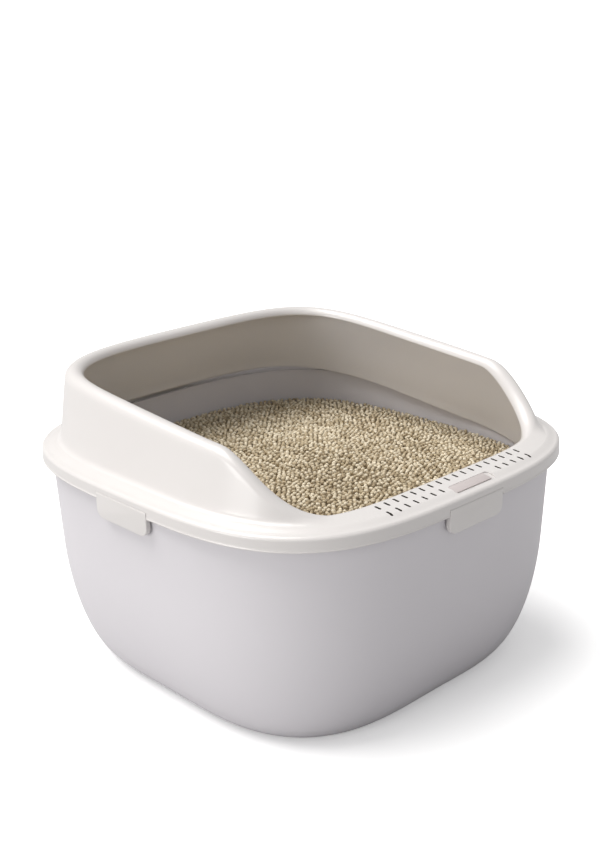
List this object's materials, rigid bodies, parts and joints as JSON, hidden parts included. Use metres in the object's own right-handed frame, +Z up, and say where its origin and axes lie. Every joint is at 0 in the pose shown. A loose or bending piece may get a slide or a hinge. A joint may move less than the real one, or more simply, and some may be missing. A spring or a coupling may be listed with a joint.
{
  "type": "cat litter box",
  "caption": "Deep rounded-square cat litter box with a lift-off splash guard, low slotted entry ledge, hinged side latches and a bed of pellet litter.",
  "frame": {"origin": "middle of the tub's footprint, on the floor", "axes": "+Z up; the low slotted entry ledge faces -Y and the tall back of the guard faces +Y; +X is the right-hand side seen from the front"},
  "size_m": [0.44, 0.446, 0.2999],
  "materials": {
    "tub": "satin",
    "guard": "gloss",
    "latch": "gloss",
    "badge": "satin",
    "pin": "satin",
    "litter": "matte"
  },
  "bodies": {
    "tub": {"tub": "tub", "litter_bed": "litter"},
    "guard": {"splash_guard": "guard", "badge_plate": "badge", "pin_front": "pin", "pin_back": "pin", "pin_left": "pin", "pin_right": "pin"},
    "latch_front": {"latch_front": "latch"},
    "latch_back": {"latch_back": "latch"},
    "latch_left": {"latch_left": "latch"},
    "latch_right": {"latch_right": "latch"}
  },
  "joints": [
    {"name": "guard_lift", "type": "slide", "parent": "tub", "child": "guard", "axis": [0, 0, 1], "range_m": [0, 0.12]},
    {"name": "front_latch_hinge", "type": "hinge", "parent": "guard", "child": "latch_front", "pos_m": [0, -0.2204, 0.2116], "axis": [-1, 0, 0], "range_deg": [0, 45]},
    {"name": "back_latch_hinge", "type": "hinge", "parent": "guard", "child": "latch_back", "pos_m": [0, 0.2204, 0.2116], "axis": [1, 0, 0], "range_deg": [0, 45]},
    {"name": "left_latch_hinge", "type": "hinge", "parent": "guard", "child": "latch_left", "pos_m": [-0.2174, 0, 0.2116], "axis": [0, 1, 0], "range_deg": [0, 45]},
    {"name": "right_latch_hinge", "type": "hinge", "parent": "guard", "child": "latch_right", "pos_m": [0.2174, 0, 0.2116], "axis": [0, -1, 0], "range_deg": [0, 45]}
  ]
}
